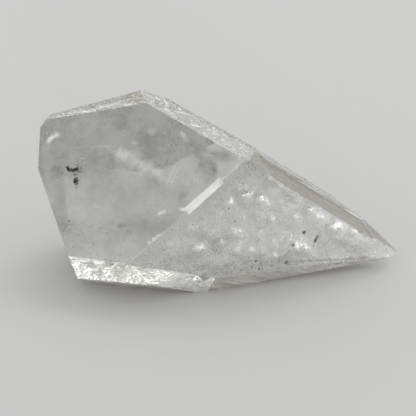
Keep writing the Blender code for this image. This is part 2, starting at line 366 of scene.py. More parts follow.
# Width of the cells that carry the marks on the flat front face, and of the
# smaller cells right at a mark, in mm.
MARK_CELL = 0.20
MARK_FINE_CELL = 0.075

# How uneven the outlines of the marks are. Marks of a half width in mm above
# this one fade out softly.
RAGGED = 0.9
BROAD = 0.26

# How steeply broad and narrow marks fade in from their rims, the least share of
# its half width that a ragged mark keeps, and the width of the raggedness in mm,
# to which the half width is added.
BROAD_FADE = 1.3
NARROW_FADE = 2.2
LEAST_SHARE = 0.2
RAGGED_WIDTH = 0.3

# How far from a narrow mark the cells are made finer, in mm, and how often.
MARK_REACH = 0.15
MARK_ROUNDS = 2

# Noise patterns of the material: width in mm, detail, roughness and shift.
PATTERNS = {
    "coarse": (1.6, 4.0, 0.55, 0.0),
    "middle": (0.55, 4.0, 0.6, 4.0),
    "fine": (0.22, 3.0, 0.55, 7.0),
    "clouds": (2.6, 7.0, 0.66, 31.0),
    "shade_patches": (1.7, 6.0, 0.62, 51.0),
    "wisps": (0.6, 5.0, 0.65, 61.0),
    "haze_wisps": (1.5, 5.0, 0.60, 3.0),
    "haze_fine": (0.35, 4.0, 0.6, 9.0),
}

# Streaks along the edge between two faces: the faces, width and length in mm,
# detail and shift.
STREAKS = {
    "combed": ("front", "top_right", 0.12, 1.4, 4.0, 0.0),
    "grooves": ("front", "front_broken", 0.10, 0.9, 4.0, 2.0),
    "band": ("front_broken", "top_stained", 0.3, 2.5, 3.0, 0.0),
    # The next streaks carry a painted reflection of the shaded floor.
    "foot": ("foot_right", "under_front", 0.4, 4.0, 3.0, 0.0),
}
STREAK_ROUGHNESS = 0.5

# Round dots: spacing and radius in mm, share of the places that have one, and
# shift. A dot fades between these shares of its radius.
DOTS = {
    "flakes": (0.42, 0.05, 0.25, 0.0),
    "specks": (0.30, 0.07, 0.35, 3.0),
    "grains": (0.62, 0.065, 0.16, 21.0),
}
DOT_FADE = (1.4, 0.7)

# What the patterns and the depths in mm are made into: a range, and the values
# at its two ends where they aren't 0 and 1.
RAMPS = {
    "coarse_patches": (0.3, 0.7, 0.55, 1.40),
    "middle_patches": (0.3, 0.7, 0.6, 1.35),
    "fine_patches": (0.3, 0.7, 0.8, 1.15),
    "clouds": (0.32, 0.68, 0.45, 1.55),
    "edge_line": (0.32, 0.20),
    "combed": (0.4, 0.65, -0.15, 0.25),
    "white_marks": (0.25, 0.65, 0.6, 1.1),
    "grooves": (0.38, 0.56, 0.75, 0.0),
    "band_edge": (3.5, 3.3),
    "band_streaks": (0.3, 0.6, 0.7, 1.0),
    "upper_edge": (0.45, 0.2),
    "upper_patches": (0.35, 0.6),
    "dust": (0.4, 0.6, 0.6, 1.0),
    "dusty_end": (-10.5, -8.0, 0.10, 1.0),
    "tint": (0.55, 0.35, 0.05, 0.4),
    "foot": (0.35, 0.65, 0.4, 0.95),
    "smudge": (0.60, 0.72, 0.0, 0.35),
    "dark_marks": (0.25, 0.65, 0.7, 1.1),
    "shade_patches": (0.40, 0.72),
    "wisps": (0.48, 0.70, 0.0, 0.7),
    "glassy": (0.50, 0.42),
    "haze_wisps": (0.34, 0.62, 0.15, 1.0),
    "haze_fine": (0.3, 0.7, 0.7, 1.15),
}

# Strength of the white flakes, of the painted highlight along the edge of the top right face with
# the front face, and of the dark grains.
FLAKE_STRENGTH = 0.7
LINE_STRENGTH = 0.5
GRAIN_STRENGTH = 0.85

# Colours of the quartz where it is clear, milky, stained or grimy, and of the painted highlights
# and painted shade on it.
CLEAR_COLOUR = (1.0, 1.0, 1.0, 1.0)
MILK_COLOUR = (0.64, 0.64, 0.625, 1.0)
FRONT_COLOUR = (0.54, 0.54, 0.52, 1.0)
# The ledge's white is partly its own frost and partly a painted highlight.
LEDGE_COLOUR = (0.97, 0.97, 0.96, 1.0)
# Painted highlight: near-white for the bright foot faces.
FOOT_COLOUR = (0.93, 0.93, 0.92, 1.0)
MARK_COLOUR = (0.97, 0.97, 0.95, 1.0)
# Also the colour of the painted reflection of the shaded floor on the underside facets.
STAIN_AND_SHADE_COLOUR = (0.42, 0.39, 0.33, 1.0)
# Also the colour of painted shade: darker patches, broad dark marks and the dark lower rim.
GRIME_AND_SHADE_COLOUR = (0.10, 0.09, 0.08, 1.0)

# How clear a place still is where the stain, or the painted reflection of the shaded floor, is
# full.
STAINED_OR_SHADED_CLEARNESS = 0.35

# Roughness of glassy and of frosted quartz, how much of it there is beside a
# glassy spot and on it, and how much a stain or the painted floor reflection adds.
ROUGHNESS = (0.02, 0.55)
GLASSY_SHARES = (1.15, 0.35)
STAIN_AND_SHADE_ROUGHNESS = 0.2

# Height of the finest bumps in mm, and their share on the ledge.
BUMP_HEIGHT = 0.03
LEDGE_BUMPS = 0.8

# What the clear quartz takes out of the light: tint, and how much in a metre.
ABSORPTION_COLOUR = (0.80, 0.795, 0.77, 1.0)
ABSORPTION_DENSITY = 105.0

# Plain materials: colour, roughness and shine.
FLOOR_LOOK = ((0.690, 0.688, 0.682), 0.9, 0.1)
HAZE_LOOK = ((0.92, 0.92, 0.90), 0.9, 0.0)
BUBBLE_LOOK = ((0.92, 0.92, 0.90), 0.35, 0.5)
SPECK_LOOK = ((0.03, 0.03, 0.03), 0.5, 0.5)
CRACK_LOOK = ((0.95, 0.94, 0.91), 0.3, 0.5)

# Side of the floor in metres.
FLOOR_SIDE = 6.0

# Soft lights: place, point that they face and side in metres, and power in watts.
LIGHTS = {
    "key": ((0.24, 0.40, 0.80), (0.0, 0.0, 0.0), 0.55, 1.1),
    "back_panel": ((0.05, 1.50, 0.13), (0.0, 0.0, 0.02), 0.68, 3.1),
    "glint": ((0.066, -0.98, 0.19), (0.0, 0.0, 0.012), 0.12, 0.55),
}

# Brightness of the room in front of the crystal and behind it, and the share of
# the way to each side where it is reached.
ROOM_FRONT = 0.72
ROOM_BACK = 0.78
ROOM_REACH = 0.7


def direction(azimuth, tilt):
    """Unit vector from an azimuth and a tilt in degrees."""
    around = math.radians(azimuth)
    upward = math.radians(tilt)
    flat = math.cos(upward)
    return Vector((math.cos(around) * flat, math.sin(around) * flat, math.sin(upward)))


def at(point):
    """A place given in mm from the middle of the crystal, in metres in the frame."""
    return (Vector(point) + MIDDLE) * MM


def face_plane(name):
    """Outward direction and distance from the middle, in mm, of a crystal face."""
    azimuth, tilt, distance = FACES[name]
    return direction(azimuth, tilt), distance


def camera_axes():
    """Right, up and backward directions of the camera."""
    tilt = math.radians(CAMERA_ELEVATION)
    back = Vector((0.0, -math.cos(tilt), math.sin(tilt)))
    right = Vector((1.0, 0.0, 0.0))
    return right, back.cross(right), back


def sight(pixel):
    """Start and direction of the line of sight of a pixel, in mm from the middle."""
    right, up, back = camera_axes()
    scale = FRAME_WIDTH / 2.0 / PHOTO_HALF
    aimed = AIM + right * (pixel[0] - PHOTO_HALF) * scale + up * (PHOTO_HALF - pixel[1]) * scale
    start = AIM + back * CAMERA_DISTANCE
    return start, (aimed - start).normalized()


def on_face(face, pixel):
    """The place seen at a pixel on the plane of a crystal face."""
    normal, distance = face_plane(face)
    start, ray = sight(pixel)
    return start + ray * ((distance - normal.dot(start)) / normal.dot(ray))


def inside(face, pixel, depth):
    """The place seen at a pixel through a face, and that face's bent line of sight."""
    normal, _ = face_plane(face)
    _, ray = sight(pixel)
    cosine = -normal.dot(ray)
    bent = ray / QUARTZ_IOR
    bent += normal * (cosine / QUARTZ_IOR - math.sqrt(1.0 - (1.0 - cosine**2) / QUARTZ_IOR**2))
    bent.normalize()
    return on_face(face, pixel) + bent * (depth / -normal.dot(bent)), bent


def layered(place, layers):
    """Noise of several layers, mostly between -1 and 1."""
    return noise.fractal(place, LAYER_FADE, LAYER_STEP, layers)


def link(name, data):
    """A new object in the scene."""
    item = bpy.data.objects.new(name, data)
    bpy.context.scene.collection.objects.link(item)
    return item


def add_camera():
    """The camera at the photograph's angle."""
    _, _, back = camera_axes()
    lens = bpy.data.cameras.new("camera")
    lens.sensor_width = SENSOR
    lens.lens = SENSOR * CAMERA_DISTANCE / FRAME_WIDTH
    lens.clip_start, lens.clip_end = CLIP
    camera = link("camera", lens)
    camera.location = at(AIM) + back * CAMERA_DISTANCE * MM
    camera.rotation_euler = back.to_track_quat("Z", "Y").to_euler()
    bpy.context.scene.camera = camera


def add_lights():
    """Soft light from the right and behind, and a small light in front."""
    for name, (place, aim, size, power) in LIGHTS.items():
        lamp = bpy.data.lights.new(name, "AREA")
        lamp.shape = "SQUARE"
        lamp.size = size
        lamp.energy = power
        item = link(name, lamp)
        item.location = place
        item.rotation_euler = (Vector(place) - Vector(aim)).to_track_quat("Z", "Y").to_euler()


def add_room():
    """A pale room, brighter at the back, towards +Y, than on the viewer's side."""
    world = bpy.data.worlds.new("room")
    world.use_nodes = True
    nodes = world.node_tree.nodes
    links = world.node_tree.links
    place = nodes.new("ShaderNodeTexCoord")
    split = nodes.new("ShaderNodeSeparateXYZ")
    links.new(place.outputs["Generated"], split.inputs["Vector"])
    glow = nodes.new("ShaderNodeMapRange")
    glow.inputs["From Min"].default_value = -ROOM_REACH
    glow.inputs["From Max"].default_value = ROOM_REACH
    glow.inputs["To Min"].default_value = ROOM_FRONT
    glow.inputs["To Max"].default_value = ROOM_BACK
    links.new(split.outputs["Y"], glow.inputs["Value"])
    links.new(glow.outputs["Result"], nodes["Background"].inputs["Strength"])
    nodes["Background"].inputs["Color"].default_value = (1.0, 1.0, 1.0, 1.0)
    bpy.context.scene.world = world


def plain_material(name, colour, roughness, shine):
    """An opaque material of one colour."""
    material = bpy.data.materials.new(name)
    material.use_nodes = True
    shader = material.node_tree.nodes["Principled BSDF"]
    shader.inputs["Base Color"].default_value = (*colour, 1.0)
    shader.inputs["Roughness"].default_value = roughness
    shader.inputs["Specular IOR Level"].default_value = shine
    return material


def add_floor():
    """A plain pale floor."""
    mesh = bpy.data.meshes.new("floor")
    half = FLOOR_SIDE / 2.0
    corners = [(-half, -half, 0.0), (half, -half, 0.0), (half, half, 0.0), (-half, half, 0.0)]
    mesh.from_pydata(corners, [], [(0, 1, 2, 3)])
    mesh.materials.append(plain_material("floor", *FLOOR_LOOK))
    floor = link("floor", mesh)


def crystal_face(face):
    """The flat crystal face that a polygon of the solid lies in, or None."""
    for name in FACES:
        normal, distance = face_plane(name)
        heights = [normal.dot(vert.co / MM - MIDDLE) - distance for vert in face.verts]
        if all(abs(height) < FLAT_SLACK for height in heights):
            return name
    return None


def parallel_face(face):
    """The crystal face that a polygon of the solid is a level step of, or None."""
    for name in FACES:
        if face.normal.dot(face_plane(name)[0]) > PARALLEL:
            return name
    return None


def broken_face(face):
    """The broken face that a polygon of the solid is a hollow of, or None."""
    centre = face.calc_center_median() / MM - MIDDLE
    best = None
    for name in BROKEN:
        normal, distance = face_plane(name)
        depth = distance - normal.dot(centre)
        cosine = face.normal.dot(normal)
        if -HOLLOW_SLACK < depth < ROUGH_DEPTH and cosine > HOLLOW_COSINE:
            score = depth + (1.0 - cosine)
            if best is None or score < best[0]:
                best = (score, name)
    return best[1] if best else None


def on_ledge(face):
    """Whether a polygon of the solid is part of the bright ledge."""
    along = (LEDGE_END - LEDGE_START).normalized()
    centre = face.calc_center_median() / MM - MIDDLE
    reach = along.dot(centre - LEDGE_START)
    outward = (face_plane("front")[0] + face_plane("front_broken")[0]).normalized()
    outward = (outward - along * outward.dot(along)).normalized()
    beside = (centre - LEDGE_START - along * reach).length
    within = -LEDGE_SLACK < reach < (LEDGE_END - LEDGE_START).length + LEDGE_SLACK
    return within and beside < LEDGE_REACH and face.normal.dot(outward) > LEDGE_COSINE


def region_of(face):
    """The crystal or broken face that a polygon belongs to, or None."""
    if on_ledge(face):
        return "ledge"
    return crystal_face(face) or parallel_face(face) or broken_face(face)


def region_number(name):
    """The number that stands for a region in the mesh; 0 is a chip."""
    names = [*FACES, "ledge"]
    return float(names.index(name) + 1) if name else 0.0


def in_region(bm, region, name):
    """The polygons of one region."""
    number = region_number(name)
    return [face for face in bm.faces if abs(face[region] - number) < REGION_SLACK]


def label_faces(bm):
    """Store what each polygon is; returns where the regions and broken faces are."""
    layers = bm.faces.layers.float
    frost, milk, rough, region = [layers.new(name) for name in ("frost", "milk", "rough", "region")]
    for face in bm.faces:
        name = region_of(face)
        face[frost], face[milk] = FROST.get(name, FROST["other"])
        face[rough] = 1.0 if name in BROKEN else 0.0
        face[region] = region_number(name)
        face.smooth = name is None or name in BROKEN
    return region, rough


def refine(bm, layer):
    """Divide the cells of the broken faces until they are fine."""
    for _ in range(FINE_ROUNDS):
        edges = [
            edge
            for edge in bm.edges
            if edge.calc_length() > FINE_CELL * MM
            and any(face[layer] > 0.0 for face in edge.link_faces)
        ]
        bmesh.ops.subdivide_edges(bm, edges=edges, cuts=1, use_grid_fill=True)
        faces = [face for face in bm.faces if len(face.verts) > 3]
        bmesh.ops.triangulate(bm, faces=faces)


def fine_depth(point):
    """Depth of the fine relief of a broken face at a place in mm."""
    grain = 0.5 + 0.5 * max(-1.0, min(1.0, layered(point / FINE_WIDTH, GRAIN_LAYERS)))
    distances, _ = noise.voronoi(point / PIT_WIDTH)
    pit = max(0.0, 1.0 - (distances[0] / PIT_RADIUS) ** 2)
    return FINE_DEPTH * grain + PIT_DEPTH * pit


def roughen(bm, layer):
    """Soften the coarse cells of the broken faces and give them a fine relief."""
    inner = [vert for vert in bm.verts if all(face[layer] > 0.0 for face in vert.link_faces)]
    axes = {"use_axis_x": True, "use_axis_y": True, "use_axis_z": True}
    for _ in range(SMOOTH_ROUNDS):
        bmesh.ops.smooth_vert(bm, verts=inner, factor=SMOOTH_SHARE, **axes)
    bm.normal_update()
    for vert in inner:
        vert.co -= vert.normal * fine_depth(vert.co / MM) * MM


def divide_front(bm, region):
    """Cut the flat front face into fine square cells."""
    normal, _ = face_plane("front")

    def cells():
        whole = in_region(bm, region, "front")
        return [face for face in whole if face.normal.dot(normal) > COPLANAR]

    bmesh.ops.dissolve_faces(bm, faces=cells())
    across = Vector((0.0, 0.0, 1.0)).cross(normal).normalized()
    for along in (across, normal.cross(across)):
        reaches = [along.dot(vert.co / MM - MIDDLE) for face in cells() for vert in face.verts]
        for step in range(1, int((max(reaches) - min(reaches)) / MARK_CELL) + 1):
            whole = cells()
            edges = {edge for face in whole for edge in face.edges}
            verts = {vert for face in whole for vert in face.verts}
            place = at(along * (min(reaches) + MARK_CELL * step))
            geometry = [*whole, *edges, *verts]
            bmesh.ops.bisect_plane(
                bm, geom=geometry, dist=CUT_SLACK, plane_co=place, plane_no=along
            )
        bm.normal_update()


def segments(name, marks):
    """Start, step, half width and strength of the marks on one face, in mm."""
    found = []
    for start, end, radius, strength in marks[name]:
        first = on_face(name, start)
        found.append((first, on_face(name, end) - first, radius, strength))
    return found


def aside(places, first, step, normal):
    """How far places are from a segment, measured along the plane of its face."""
    offsets = places - numpy.array(first)
    share = numpy.clip(offsets @ numpy.array(step) / step.length_squared, 0.0, 1.0)
    offsets -= share[:, None] * numpy.array(step)
    offsets -= (offsets @ numpy.array(normal))[:, None] * numpy.array(normal)
    return numpy.linalg.norm(offsets, axis=1)


def refine_marks(bm, region, marks):
    """Divide the cells around the narrow marks until they are fine."""
    for name in marks:
        normal, _ = face_plane(name)
        narrow = [part for part in segments(name, marks) if part[2] <= BROAD]
        for _ in range(MARK_ROUNDS):
            cells = in_region(bm, region, name)
            centres = numpy.array([face.calc_center_median() / MM - MIDDLE for face in cells])
            near = numpy.zeros(len(cells), bool)
            for first, step, radius, _ in narrow:
                near |= aside(centres, first, step, normal) < radius + MARK_REACH
            edges = {
                edge
                for index in numpy.nonzero(near)[0]
                for edge in cells[index].edges
                if edge.calc_length() > MARK_FINE_CELL * MM
            }
            bmesh.ops.subdivide_edges(bm, edges=list(edges), cuts=1, use_grid_fill=True)
            bmesh.ops.triangulate(bm, faces=[face for face in bm.faces if len(face.verts) > 3])


def mark_strength(place, distance, radius, strength):
    """How strong a mark is at a place in mm, at a distance from its middle line."""
    ragged = 1.0 + RAGGED * layered(place / (RAGGED_WIDTH + radius), WISP_LAYERS)
    reach = 1.0 - distance / (radius * max(LEAST_SHARE, ragged))
    fade = BROAD_FADE if radius > BROAD else NARROW_FADE
    return strength * max(0.0, min(1.0, fade * reach))


def store_marks(bm, region, layer, marks):
    """Store how strong the marks are at each corner of the mesh."""
    for name in marks:
        normal, _ = face_plane(name)
        verts = list({vert for face in in_region(bm, region, name) for vert in face.verts})
        places = numpy.array([vert.co / MM - MIDDLE for vert in verts])
        for first, step, radius, strength in segments(name, marks):
            distances = aside(places, first, step, normal)
            for index in numpy.nonzero(distances < radius * (1.0 + RAGGED))[0]:
                vert = verts[index]
                found = mark_strength(vert.co / MM, distances[index], radius, strength)
                vert[layer] = max(vert[layer], found)


def add_crystal():
    """The clear crystal: the solid with fine roughness on its broken faces."""
    bm = bmesh.new()
    bm.from_mesh(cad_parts["crystal"].data)
    bmesh.ops.remove_doubles(bm, verts=bm.verts[:], dist=MERGE_DISTANCE)
    bm.normal_update()
    region, rough = label_faces(bm)
    divide_front(bm, region)
    refine(bm, rough)
    roughen(bm, rough)
    refine_marks(bm, region, WHITE_MARKS)
    refine_marks(bm, region, DARK_MARKS)
    white = bm.verts.layers.float.new("white")
    dark = bm.verts.layers.float.new("dark")
    store_marks(bm, region, white, WHITE_MARKS)
    store_marks(bm, region, dark, DARK_MARKS)
    mesh = bpy.data.meshes.new("quartz_crystal")
    bm.to_mesh(mesh)
    bm.free()
    # The normals stored with the solid don't fit the refined surface.
    mesh.attributes.remove(mesh.attributes["custom_normal"])
    crystal = link("quartz_crystal", mesh)
    mesh.materials.append(quartz_material())
    mesh.set_sharp_from_angle(angle=math.radians(SHARP_ANGLE))
    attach(crystal, "root")
    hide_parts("crystal")


class Wiring:
    """Short ways to add and join the nodes of a material."""

    def __init__(self, material):
        material.use_nodes = True
        self.nodes = material.node_tree.nodes
        self.links = material.node_tree.links
        self.shader = self.nodes["Principled BSDF"]
        # Place on the crystal in mm from its middle.
        coordinates = self.nodes.new("ShaderNodeTexCoord")
        scaled = self.vector("SCALE", coordinates.outputs["Object"], scale=1.0 / MM)
        self.place = self.vector("SUBTRACT", scaled, tuple(MIDDLE))

    def join(self, socket, value):
        if isinstance(value, bpy.types.NodeSocket):
            self.links.new(value, socket)
        else:
            socket.default_value = value

    def node(self, kind, inputs, **settings):
        """A new node of a kind, with its inputs joined and its settings made."""
        node = self.nodes.new("ShaderNode" + kind)
        for name, value in settings.items():
            setattr(node, name, value)
        for name, value in inputs.items():
            self.join(node.inputs[name], value)
        return node

    def vector(self, operation, *values, scale=None, result="Vector"):
        inputs = dict(enumerate(values))
        if scale is not None:
            inputs["Scale"] = scale
        return self.node("VectorMath", inputs, operation=operation).outputs[result]

    def math(self, operation, *values, clamp=False):
        inputs = dict(enumerate(values))
        return self.node("Math", inputs, operation=operation, use_clamp=clamp).outputs[0]

    def times(self, first, *others, clamp=False):
        """The product of several values."""
        for other in others:
            first = self.math("MULTIPLY", first, other, clamp=clamp)
        return first

    def most(self, first, *others):
        """The largest of several values."""
        for other in others:
            first = self.math("MAXIMUM", first, other)
        return first

    def mix(self, factor, first, second):
        """A colour between two others."""
        inputs = {0: factor, 6: first, 7: second}
        return self.node("Mix", inputs, data_type="RGBA").outputs[2]

    def ramp(self, value, low, high, start=0.0, end=1.0, smooth=True):
        """A value carried from the range low to high over to start to end."""
        inputs = {"Value": value, "From Min": low, "From Max": high, "To Min": start, "To Max": end}
        kind = "SMOOTHSTEP" if smooth else "LINEAR"
        return self.node("MapRange", inputs, interpolation_type=kind).outputs["Result"]

    def shape(self, value, name):
        """A value carried over as RAMPS says."""
        return self.ramp(value, *RAMPS[name])

    def blend(self, share, start, end):
        """A value that goes evenly from start to end as the share grows from 0 to 1."""
        return self.ramp(share, 0.0, 1.0, start, end, smooth=False)

    def attribute(self, name):
        return self.node("Attribute", {}, attribute_name=name).outputs["Fac"]

    def shifted(self, place, shift):
        return self.vector("ADD", place, (shift, shift, shift))

    def texture(self, place, width, detail, roughness):
        """Noise of a width in mm at a place."""
        inputs = {"Vector": place, "Scale": 1.0 / width, "Detail": detail, "Roughness": roughness}
        return self.node("TexNoise", inputs).outputs["Fac"]

    def noise(self, name):
        """One of the patterns in PATTERNS."""
        width, detail, roughness, shift = PATTERNS[name]
        return self.texture(self.shifted(self.place, shift), width, detail, roughness)


class QuartzWiring(Wiring):
    """The wiring of the quartz, with the values that several of its parts share."""

    def __init__(self, material):
        super().__init__(material)
        self.region = self.attribute("region")
        self.broken = self.attribute("rough")
        self.middle = self.noise("middle")
        self.fine = self.noise("fine")
        self.combed = self.streaks("combed")

    def on(self, name):
        """1 on one face of the crystal and 0 elsewhere."""
        return self.math("COMPARE", self.region, region_number(name), REGION_SLACK)

    def depth(self, name):
        """Depth in mm under the plane of a crystal face."""
        normal, distance = face_plane(name)
        along = self.vector("DOT_PRODUCT", self.place, tuple(normal), result="Value")
        return self.math("SUBTRACT", distance, along)

    def streaks(self, name):
        """Noise drawn out along the edge between two crystal faces, as in STREAKS."""
        first, second, width, length, detail, shift = STREAKS[name]
        along = face_plane(first)[0].cross(face_plane(second)[0]).normalized()
        far = self.vector("DOT_PRODUCT", self.place, tuple(along), result="Value")
        squeeze = self.math("MULTIPLY", far, width / length - 1.0)
        pull = self.vector("SCALE", tuple(along), scale=squeeze)
        place = self.shifted(self.vector("ADD", self.place, pull), shift)
        return self.texture(place, width, detail, STREAK_ROUGHNESS)

    def dots(self, name):
        """Round dots in a share of the places of a loose grid, as in DOTS."""
        spacing, radius, share, shift = DOTS[name]
        place = self.shifted(self.place, shift)
        cells = self.node("TexVoronoi", {"Vector": place, "Scale": 1.0 / spacing})
        rim, core = [part * radius / spacing for part in DOT_FADE]
        split = self.node("SeparateColor", {"Color": cells.outputs["Color"]})
        chosen = self.math("LESS_THAN", split.outputs["Red"], share)
        return self.times(self.ramp(cells.outputs["Distance"], rim, core), chosen)


def cloudiness(wire):
    """Patches on the broken faces, and clouds on the flat ones."""
    patches = wire.times(
        wire.shape(wire.noise("coarse"), "coarse_patches"),
        wire.shape(wire.middle, "middle_patches"),
        wire.shape(wire.fine, "fine_patches"),
    )
    clouds = wire.shape(wire.noise("clouds"), "clouds")
    patches = wire.math("SUBTRACT", patches, clouds)
    return wire.math("MULTIPLY_ADD", patches, wire.broken, clouds)


def quartz_milk(wire, white):
    """How milky the quartz is, with the white marks, some of them painted highlights, the flakes,
    the painted edge highlight and the streaks.
    """
    top_right = wire.on("top_right")
    milk = wire.times(wire.attribute("milk"), cloudiness(wire))
    flakes = wire.times(wire.dots("flakes"), FLAKE_STRENGTH, wire.on("front_broken"))
    # Painted highlight: a white line where the top right face meets the front face.
    line = wire.times(wire.shape(wire.depth("front"), "edge_line"), top_right, LINE_STRENGTH)
    combed = wire.times(top_right, wire.shape(wire.combed, "combed"))
    for part in (flakes, line, combed):
        milk = wire.math("ADD", milk, part)
    grooves = wire.times(wire.on("ledge"), wire.shape(wire.streaks("grooves"), "grooves"))
    milk = wire.math("SUBTRACT", milk, grooves, clamp=True)
    return wire.math("ADD", milk, white, clamp=True)


def quartz_stain_and_shade(wire):
    """Iron stain beside the broken front, dust on the top, and a brownish painted reflection of the
    shaded floor on the underside facets of the foot.
    """
    top_right = wire.on("top_right")
    band = wire.times(
        wire.shape(wire.depth("front_broken"), "band_edge"),
        wire.on("top_stained"),
        wire.shape(wire.streaks("band"), "band_streaks"),
    )
    upper = wire.times(
        wire.shape(wire.depth("back_right"), "upper_edge"),
        top_right,
        wire.shape(wire.fine, "upper_patches"),
    )
    split = wire.node("SeparateXYZ", {"Vector": wire.place})
    dust = wire.times(
        wire.on("top_left"),
        wire.shape(wire.middle, "dust"),
        wire.shape(split.outputs["X"], "dusty_end"),
    )
    specks = wire.times(top_right, wire.dots("specks"))
    tint = wire.times(top_right, wire.shape(wire.combed, "tint"))
    # Painted reflection: brownish streaks on the underside facets stand for the shaded floor that
    # they reflect.
    foot = wire.math("ADD", wire.on("foot_right"), wire.on("under_front"))
    foot = wire.times(foot, wire.shape(wire.streaks("foot"), "foot"))
    return wire.most(band, upper, dust, specks, tint, foot)


def quartz_grime_and_shade(wire):
    """Dark grains and smudges on the broken front, dark marks, some of them painted shade, and
    faint patches of painted shade.
    """
    front_broken = wire.on("front_broken")
    grains = wire.times(wire.dots("grains"), front_broken, GRAIN_STRENGTH)
    smudges = wire.times(wire.shape(wire.middle, "smudge"), front_broken)
    dark = wire.times(wire.attribute("dark"), wire.shape(wire.fine, "dark_marks"))
    grime_and_shade = wire.most(grains, smudges, dark)
    # Painted shade: darker patches and wisps under the front and top faces.
    wisps = wire.times(wire.shape(wire.noise("wisps"), "wisps"), wire.on("front"))
    shade_patches = wire.math("ADD", wire.shape(wire.noise("shade_patches"), "shade_patches"), wisps)
    share = 0.0
    for name, amount in SHADE_PATCH_AMOUNTS.items():
        share = wire.math("MULTIPLY_ADD", wire.on(name), amount, share)
    return wire.math("MULTIPLY_ADD", shade_patches, share, grime_and_shade, clamp=True)


def quartz_colour(wire, milk, white, stain_and_shade, grime_and_shade):
    """White where the quartz is clear, and duller where it isn't."""
    dull = wire.mix(wire.on("front"), MILK_COLOUR, FRONT_COLOUR)
    # The ledge's white is partly its own frost and partly a painted highlight.
    dull = wire.mix(wire.on("ledge"), dull, LEDGE_COLOUR)
    # Painted highlight: the bright foot faces get a near-white colour.
    foot = wire.math("ADD", wire.on("foot_bright"), wire.on("foot_middle"))
    dull = wire.mix(foot, dull, FOOT_COLOUR)
    dull = wire.mix(white, dull, MARK_COLOUR)
    colour = wire.mix(milk, CLEAR_COLOUR, dull)
    colour = wire.mix(stain_and_shade, colour, STAIN_AND_SHADE_COLOUR)
    return wire.mix(grime_and_shade, colour, GRIME_AND_SHADE_COLOUR)


def quartz_clearness(wire, milk, stain_and_shade, grime_and_shade):
    """How much of the light goes into the quartz."""
    clear = wire.math("SUBTRACT", 1.0, milk)
    return wire.times(
        clear, wire.blend(stain_and_shade, 1.0, STAINED_OR_SHADED_CLEARNESS), wire.blend(grime_and_shade, 1.0, 0.0)
    )


def quartz_roughness(wire, stain_and_shade):
    """Frost, with glassy spots on the broken faces that catch the light."""
    rough = wire.blend(wire.attribute("frost"), *ROUGHNESS)
    glassy = wire.times(wire.shape(wire.middle, "glassy"), wire.broken)
    rough = wire.times(rough, wire.blend(glassy, *GLASSY_SHARES))
    return wire.math("MULTIPLY_ADD", stain_and_shade, STAIN_AND_SHADE_ROUGHNESS, rough, clamp=True)


def quartz_bumps(wire):
    """The finest bumps, on the broken faces and the ledge."""
    textured = wire.most(wire.broken, wire.times(wire.on("ledge"), LEDGE_BUMPS))
    height = wire.times(textured, wire.math("ADD", wire.fine, wire.middle))
    inputs = {"Strength": 1.0, "Distance": BUMP_HEIGHT * MM, "Height": height}
    return wire.node("Bump", inputs).outputs["Normal"]


def quartz_material():
    """Clear quartz: milky and rough where broken, iron-stained along one band."""
    material = bpy.data.materials.new("quartz_clear")
    wire = QuartzWiring(material)
    white = wire.times(wire.attribute("white"), wire.shape(wire.fine, "white_marks"))
    milk = quartz_milk(wire, white)
    stain_and_shade = quartz_stain_and_shade(wire)
    grime_and_shade = quartz_grime_and_shade(wire)
    colour = quartz_colour(wire, milk, white, stain_and_shade, grime_and_shade)
    wire.join(wire.shader.inputs["Base Color"], colour)
    clear = quartz_clearness(wire, milk, stain_and_shade, grime_and_shade)
    wire.join(wire.shader.inputs["Transmission Weight"], clear)
    wire.join(wire.shader.inputs["Roughness"], quartz_roughness(wire, stain_and_shade))
    wire.join(wire.shader.inputs["Normal"], quartz_bumps(wire))
    wire.shader.inputs["IOR"].default_value = QUARTZ_IOR
    inputs = {"Color": ABSORPTION_COLOUR, "Density": ABSORPTION_DENSITY}
    absorb = wire.node("VolumeAbsorption", inputs)
    wire.links.new(absorb.outputs["Volume"], wire.nodes["Material Output"].inputs["Volume"])
    return material


def inside_crystal(point, margin):
    """Whether a place in mm from the middle is inside the crystal by a margin."""
    planes = [face_plane(name) for name in FACES]
    return all(normal.dot(point) < distance - margin for normal, distance in planes)


def depth_under_rest(point):
    """Smallest depth in mm of a place under all crystal faces but the clear one."""
    planes = [face_plane(name) for name in FACES if name != CLEAR_FACE]
    return min(distance - normal.dot(point) for normal, distance in planes)


def seen_axes(bent, turn):
    """Two directions across a bent line of sight; the first is turned in the picture."""
    right, up, _ = camera_axes()
    across = (right - bent * right.dot(bent)).normalized()
    rise = across.cross(bent)
    if rise.dot(up) < 0.0:
        rise = -rise
    angle = math.radians(turn)
    first = across * math.cos(angle) + rise * math.sin(angle)
    second = rise * math.cos(angle) - across * math.sin(angle)
    return first, second


def veil_points(rng, face, pixel, depth, size, turn, count):
    """Places of the bubbles of one veil, thinned out into wisps."""
    centre, bent = inside(face, pixel, depth)
    first, second = seen_axes(bent, turn)
    lean = rng.uniform(-VEIL_LEAN, VEIL_LEAN)
    points = []
    tries = 0
    while len(points) < count and tries < count * VEIL_TRIES:
        tries += 1
        u = rng.gauss(0.0, size[0] / VEIL_SPREAD)
        v = rng.gauss(0.0, size[1] / VEIL_SPREAD)
        w = rng.gauss(0.0, VEIL_THICKNESS) + u * lean
        point = centre + first * u + second * v + bent * w
        wisp = layered(point * VEIL_WISPS, WISP_LAYERS)
        if wisp > rng.uniform(*VEIL_THINNING) and inside_crystal(point, VEIL_MARGIN):
            points.append(point)
    return points


def add_inside(name, verts, faces, material):
    """A piece inside the crystal, with its corners in metres."""
    mesh = bpy.data.meshes.new(name)
    mesh.from_pydata(verts, [], faces)
    mesh.materials.append(material)
    piece = link(name, mesh)
    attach(piece, "root")
    return mesh


